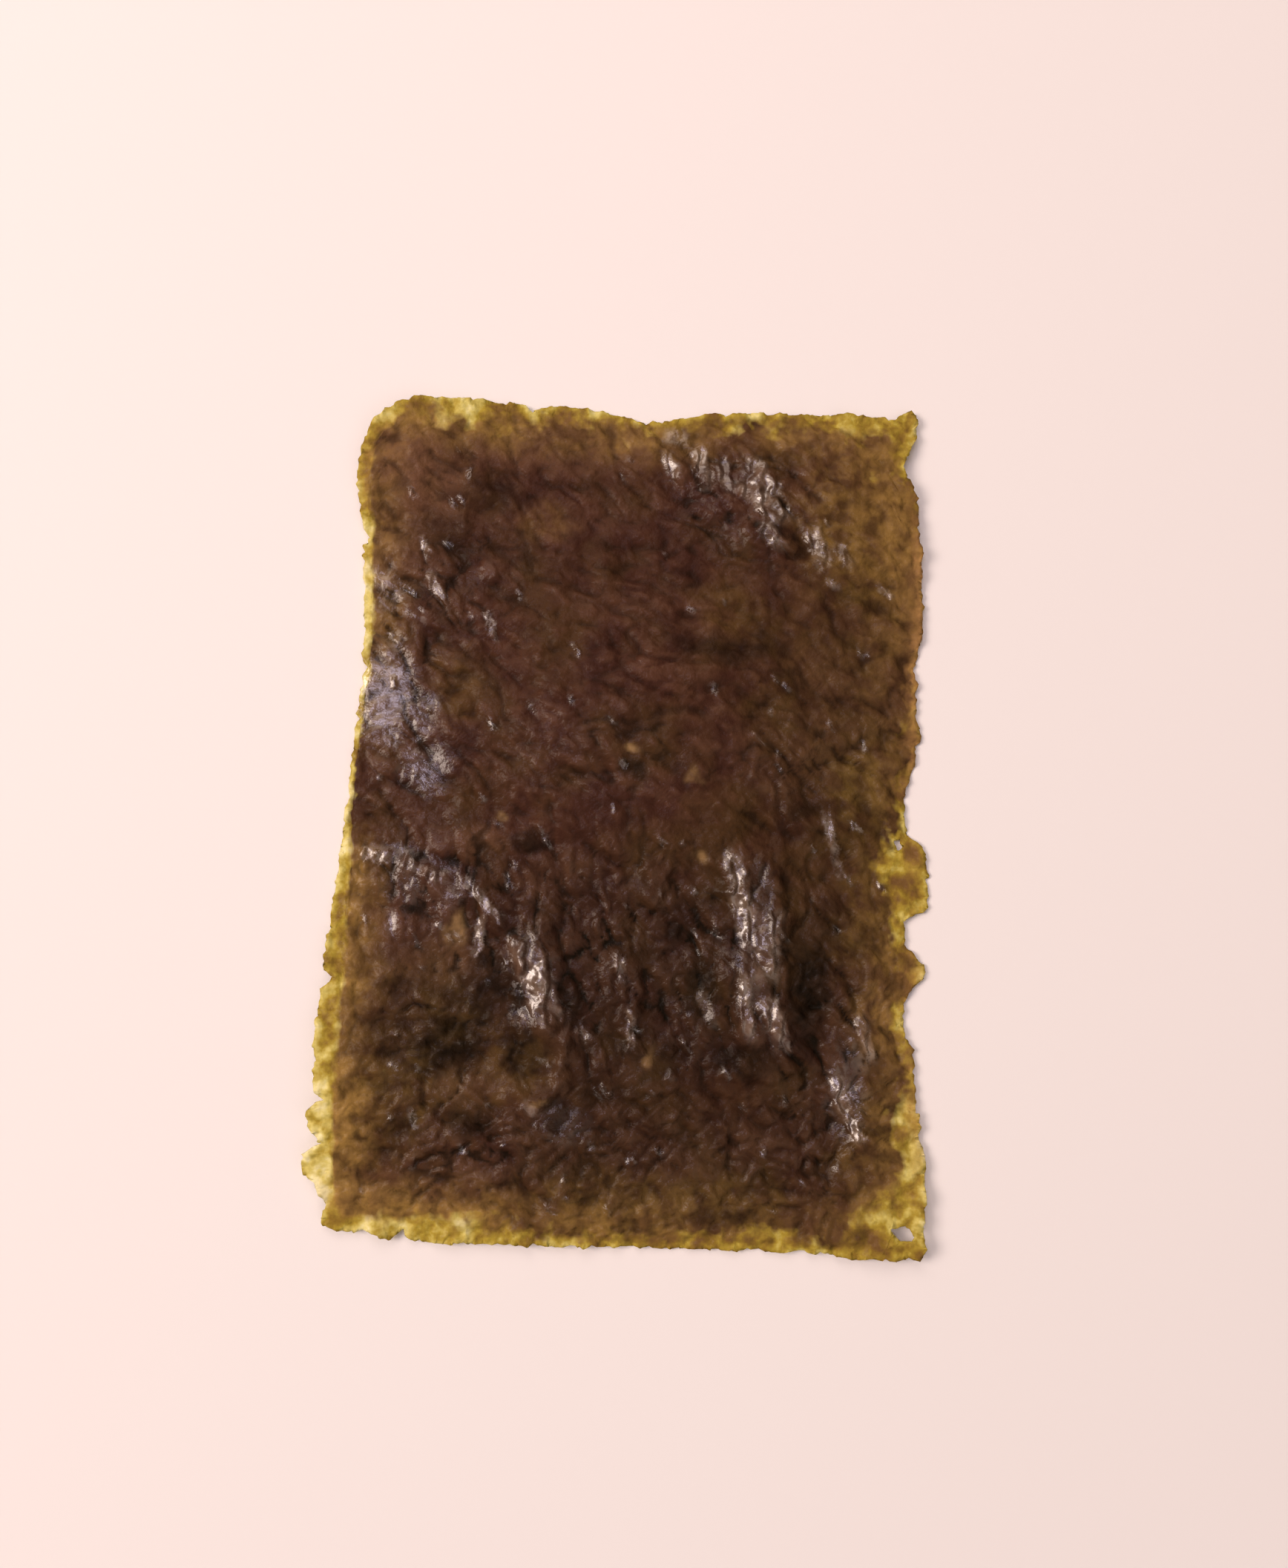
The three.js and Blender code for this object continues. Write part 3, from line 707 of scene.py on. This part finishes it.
# a socket takes a link, a colour or a number
def feed(tree, socket, value):
    if isinstance(value, bpy.types.NodeSocket):
        tree.links.new(value, socket)
    elif isinstance(value, tuple):
        socket.default_value = (*value, 1.0)
    else:
        socket.default_value = value


# these add nodes and give back an output socket
def readMark(tree, name):
    return addNode(tree, "ShaderNodeAttribute", attribute_name=name).outputs["Fac"]


def addNoise(tree, vector, scale, detail, rough):
    node = addNode(tree, "ShaderNodeTexNoise")
    for name, value in (("Vector", vector), ("Scale", scale), ("Detail", detail), ("Roughness", rough)):
        feed(tree, node.inputs[name], value)
    return node.outputs["Fac"]


def addSpan(tree, value, fromLow, fromHigh, toLow, toHigh):
    node = addNode(tree, "ShaderNodeMapRange", clamp=True)
    for name, number in (("Value", value), ("From Min", fromLow), ("From Max", fromHigh),
                         ("To Min", toLow), ("To Max", toHigh)):
        feed(tree, node.inputs[name], number)
    return node.outputs["Result"]


def addMath(tree, kind, first, second):
    node = addNode(tree, "ShaderNodeMath", operation=kind)
    feed(tree, node.inputs[0], first)
    feed(tree, node.inputs[1], second)
    return node.outputs["Value"]


def addRamp(tree, value, stops):
    node = addNode(tree, "ShaderNodeValToRGB")
    band = node.color_ramp
    while len(band.elements) < len(stops):
        band.elements.new(0.5)  # moved to its own place below
    for element, (place, colour) in zip(band.elements, stops):
        element.position = place
        element.color = (*colour, 1.0)
    feed(tree, node.inputs["Fac"], value)
    return node.outputs["Color"]


def addMix(tree, share, first, second, kind="MIX"):
    node = addNode(tree, "ShaderNodeMix", data_type="RGBA", blend_type=kind)
    feed(tree, node.inputs["Factor"], share)
    feed(tree, node.inputs[6], first)  # the colour sockets come after those for numbers
    feed(tree, node.inputs[7], second)
    return node.outputs[2]


# a mark broken up by a pattern
def addMask(tree, name, pattern, span):
    return addMath(tree, "MULTIPLY", readMark(tree, name), addSpan(tree, pattern, *span))


# roasted nori: colours are linear
noriSettings = {
    # the field, from dark to pale over a mottled pattern, its paler crests as painted light, and its
    # patches
    "fieldStops": [(0.2, (0.030, 0.0104, 0.0064)), (0.5, (0.046, 0.0169, 0.0100)),
                   (0.9, (0.092, 0.0400, 0.0215))],
    # painted light: crests of the crumple are made paler with this colour
    "paintedCrestLight": (0.092, 0.0400, 0.0215),
    "umber": (0.056, 0.0280, 0.0087),
    "tan": (0.130, 0.0610, 0.0330),
    "oliveField": (0.160, 0.0880, 0.0250),
    "veilTint": (0.300, 0.1780, 0.0450),
    "duskTint": (0.86, 0.97, 0.74),
    # painted shade: a near-black colour for the valleys and hollows
    "paintedShade": (0.0066, 0.0040, 0.0018),
    "ochre": (0.240, 0.1450, 0.0600),
    # painted sheen: the glossy pleats are made paler, standing in for their reflection
    "paintedSheen": (0.230, 0.1600, 0.1080),
    # the margin, from brown over green and gold to pale; partly its own colour, partly painted light
    # shining through the thin leaf
    "marginStops": [(0.16, (0.132, 0.068, 0.020)), (0.36, (0.206, 0.127, 0.019)),
                    (0.54, (0.335, 0.240, 0.032)), (0.74, (0.540, 0.450, 0.126)),
                    (0.95, (0.730, 0.655, 0.345))],
    "marginTan": (0.330, 0.176, 0.062),
    "paleShift": 0.36,
    # patterns: scale per metre, detail, roughness
    "drift": (140.0, 3.0, 0.55),
    "mottle": (300.0, 3.0, 0.5),
    "grit": (560.0, 2.0, 0.5),
    "lump": (620.0, 3.0, 0.5),
    "speck": (1400.0, 2.0, 0.5),
    # spans: from low and high of a pattern or mark, to low and high of a share
    "borderGrit": (0.2, 0.8, -0.3, 0.3),
    "borderSpan": (0.28, 0.86, 0.0, 1.0),
    "umberSpan": (0.44, 0.66, 0.0, 0.7),
    "paintedCrestSpan": (0.0, 1.0, 0.0, 0.62),
    "tanSpan": (0.3, 0.6, 0.4, 1.0),
    "oliveSpan": (0.38, 0.62, 0.3, 1.0),
    "veilSpan": (0.35, 0.65, 0.5, 1.2),
    "paintedShadeSpan": (0.35, 0.65, 1.0, 0.7),
    "ochreSpan": (0.35, 0.6, 0.3, 0.9),
    "paintedSheenSpan": (0.4, 0.6, 0.1, 0.4),
    "gritTone": (0.3, 0.7, 0.9, 1.1),
    "speckTone": (0.3, 0.7, 0.94, 1.06),
    "lumpSpan": (0.3, 0.7, 0.08, 0.52),
    "lumpMottle": (0.35, 0.65, 0.04, 0.36),
    "roughSpan": (0.0, 1.0, 0.65, 0.4),     # from dull to oily
    "roughSpeck": (0.3, 0.7, -0.08, 0.08),
    "bumpSpan": (0.2, 1.0, 1.0, 0.25),      # oily parts are smoother
    "coatSpan": (0.36, 0.6, 0.45, 1.0),
    "specular": 0.03,
    "coatRough": 0.27,
    "coatIor": 2.15,
    # painted light: the margin glows by its own colour, standing in for light shining through the thin leaf
    "glow": 0.14,
    "bumpStrength": 1.0,
    "bumpDepth": 0.00016,
}


def noriMaterial(settings):
    material = bpy.data.materials.new("roastedNori")
    material.use_nodes = True
    tree = material.node_tree
    tree.nodes.clear()
    place = addNode(tree, "ShaderNodeTexCoord").outputs["Object"]
    drift = addNoise(tree, place, *settings["drift"])
    mottle = addNoise(tree, place, *settings["mottle"])
    grit = addNoise(tree, place, *settings["grit"])
    lump = addNoise(tree, place, *settings["lump"])
    speck = addNoise(tree, place, *settings["speck"])
    gloss = readMark(tree, "gloss")
    # the margin's inner border is broken up by the grit
    thin = addMath(tree, "ADD", readMark(tree, "thin"), addSpan(tree, grit, *settings["borderGrit"]))
    thin = addSpan(tree, thin, *settings["borderSpan"])

    field = addRamp(tree, mottle, settings["fieldStops"])
    field = addMix(tree, addSpan(tree, drift, *settings["umberSpan"]), field, settings["umber"])
    # painted light: the crests of the crumple are made paler
    paintedCrestShare = addSpan(tree, readMark(tree, "crest"), *settings["paintedCrestSpan"])
    field = addMix(tree, paintedCrestShare, field, settings["paintedCrestLight"])
    tanShare = addMask(tree, "tan", mottle, settings["tanSpan"])
    field = addMix(tree, tanShare, field, settings["tan"])
    field = addMix(tree, addMask(tree, "olive", grit, settings["oliveSpan"]), field, settings["oliveField"])
    field = addMix(tree, readMark(tree, "dusk"), field, settings["duskTint"], "MULTIPLY")
    field = addMix(tree, addMask(tree, "veil", grit, settings["veilSpan"]), field, settings["veilTint"])
    # painted shade in valleys and hollows
    field = addMix(tree, addMask(tree, "dark", grit, settings["paintedShadeSpan"]), field, settings["paintedShade"])
    field = addMix(tree, addMask(tree, "ochre", grit, settings["ochreSpan"]), field, settings["ochre"])
    # painted sheen on the glossy pleats
    paintedSheenShare = addMask(tree, "streak", grit, settings["paintedSheenSpan"])
    field = addMix(tree, paintedSheenShare, field, settings["paintedSheen"])
    field = addMix(tree, 1.0, field, addSpan(tree, grit, *settings["gritTone"]), "MULTIPLY")

    paler = addMath(tree, "MULTIPLY", readMark(tree, "pale"), settings["paleShift"])
    lumps = addSpan(tree, lump, *settings["lumpSpan"])
    lumps = addMath(tree, "ADD", lumps, addSpan(tree, mottle, *settings["lumpMottle"]))
    # the margin's colour, partly painted light shining through the thin leaf
    margin = addRamp(tree, addMath(tree, "ADD", lumps, paler), settings["marginStops"])
    margin = addMix(tree, tanShare, margin, settings["marginTan"])
    colour = addMix(tree, thin, field, margin)
    colour = addMix(tree, 1.0, colour, addSpan(tree, speck, *settings["speckTone"]), "MULTIPLY")

    rough = addSpan(tree, gloss, *settings["roughSpan"])
    rough = addMath(tree, "ADD", rough, addSpan(tree, speck, *settings["roughSpeck"]))
    coat = addMath(tree, "MULTIPLY", gloss, addSpan(tree, grit, *settings["coatSpan"]))

    bump = addNode(tree, "ShaderNodeBump")
    bump.inputs["Strength"].default_value = settings["bumpStrength"]
    bump.inputs["Distance"].default_value = settings["bumpDepth"]
    height = addMath(tree, "MULTIPLY", speck, addSpan(tree, gloss, *settings["bumpSpan"]))
    feed(tree, bump.inputs["Height"], height)

    skin = addNode(tree, "ShaderNodeBsdfPrincipled")
    skin.inputs["Specular IOR Level"].default_value = settings["specular"]
    skin.inputs["Coat Roughness"].default_value = settings["coatRough"]
    skin.inputs["Coat IOR"].default_value = settings["coatIor"]
    skin.inputs["Emission Strength"].default_value = settings["glow"]
    feed(tree, skin.inputs["Base Color"], colour)
    feed(tree, skin.inputs["Roughness"], rough)
    feed(tree, skin.inputs["Coat Weight"], coat)
    # painted light: the thin margin glows
    feed(tree, skin.inputs["Emission Color"], addMix(tree, thin, (0.0, 0.0, 0.0), margin))
    feed(tree, skin.inputs["Normal"], bump.outputs["Normal"])
    feed(tree, skin.inputs["Coat Normal"], bump.outputs["Normal"])
    out = addNode(tree, "ShaderNodeOutputMaterial")
    feed(tree, out.inputs["Surface"], skin.outputs["BSDF"])
    return material


leaf = buildLeaf(leafSettings)
leaf.data.materials.append(noriMaterial(noriSettings))
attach(leaf, "root")
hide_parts(leafSettings["node"])
print("leaf placed")


# floor and light, in metres
stageSettings = {
    "floorSize": 12.0,
    "floorColour": (0.83, 0.80, 0.795),
    "floorRough": 0.9,
    "worldGlow": (0.15, 0.125, 0.11),
    "worldSeen": (0.27, 0.225, 0.20),
    "lights": [
        # name, place, width, height, watts, colour
        ("sideKey", (-0.70, 0.06, 0.68), 0.44, 0.44, 7.8, (1.0, 0.82, 0.72)),
        ("backKey", (-0.16, 0.66, 0.70), 0.60, 0.60, 3.0, (1.0, 0.82, 0.72)),
        ("leftStrip", (-0.185, 0.12, 0.80), 0.07, 0.34, 1.15, (0.88, 0.78, 1.0)),
    ],
    "fillFrom": (0.50, -0.50, 0.90),
    "fillStrength": 0.57,   # watts per square metre
    "fillSpread": 55.0,     # degrees
    "fillColour": (1.0, 0.81, 0.71),
}


# puts a lamp at a place, aimed at the origin
def placeLamp(data, place):
    lamp = bpy.data.objects.new(data.name, data)
    lamp.location = place
    lamp.rotation_euler = (-Vector(place)).to_track_quat("-Z", "Y").to_euler()
    bpy.context.scene.collection.objects.link(lamp)


def buildStage(settings):
    shape = bmesh.new()
    bmesh.ops.create_grid(shape, x_segments=1, y_segments=1, size=settings["floorSize"] / 2)
    mesh = bpy.data.meshes.new("floor")
    shape.to_mesh(mesh)
    shape.free()
    floor = bpy.data.objects.new("floor", mesh)
    bpy.context.scene.collection.objects.link(floor)
    material = bpy.data.materials.new("paleFloor")
    material.use_nodes = True
    paint = material.node_tree.nodes["Principled BSDF"]
    paint.inputs["Base Color"].default_value = (*settings["floorColour"], 1.0)
    paint.inputs["Roughness"].default_value = settings["floorRough"]
    mesh.materials.append(material)
    fill = bpy.data.lights.new("frontFill", "SUN")
    fill.energy = settings["fillStrength"]
    fill.angle = math.radians(settings["fillSpread"])
    fill.color = settings["fillColour"]
    placeLamp(fill, settings["fillFrom"])
    for name, place, width, height, watts, colour in settings["lights"]:
        data = bpy.data.lights.new(name, "AREA")
        data.shape = "RECTANGLE"
        data.size = width
        data.size_y = height
        data.energy = watts
        data.color = colour
        placeLamp(data, place)
    world = bpy.data.worlds.new("studio")
    world.use_nodes = True
    tree = world.node_tree
    seen = addNode(tree, "ShaderNodeLightPath").outputs["Is Camera Ray"]
    glow = addMix(tree, seen, settings["worldGlow"], settings["worldSeen"])
    feed(tree, tree.nodes["Background"].inputs["Color"], glow)
    bpy.context.scene.world = world
    bpy.context.scene.view_settings.view_transform = "Standard"


# the photograph's own view: the eye's place in mm, and its swing, tilt and roll in degrees
cameraSettings = {
    "eye": (0.646, -13.764, 137.7),
    "swing": -3.42,
    "tilt": 6.97,
    "roll": 5.07,
    "focal": 1739.0,        # in pixels of the 1736 by 2114 picture
    "pictureHigh": 2114.0,
    "sensor": 36.0,
    "nearest": 0.005,       # metres
}


def buildCamera(settings):
    data = bpy.data.cameras.new("camera")
    data.sensor_width = settings["sensor"]
    data.lens = settings["sensor"] * settings["focal"] / settings["pictureHigh"]
    data.clip_start = settings["nearest"]
    camera = bpy.data.objects.new("camera", data)
    turn = Matrix.Rotation(math.radians(settings["swing"]), 4, "Z")
    turn = turn @ Matrix.Rotation(math.radians(settings["tilt"]), 4, "X")
    turn = turn @ Matrix.Rotation(math.radians(settings["roll"]), 4, "Z")
    camera.matrix_world = Matrix.Translation(Vector(settings["eye"]) * mm) @ turn
    bpy.context.scene.collection.objects.link(camera)
    bpy.context.scene.camera = camera


buildStage(stageSettings)
buildCamera(cameraSettings)
print("stage and camera placed")
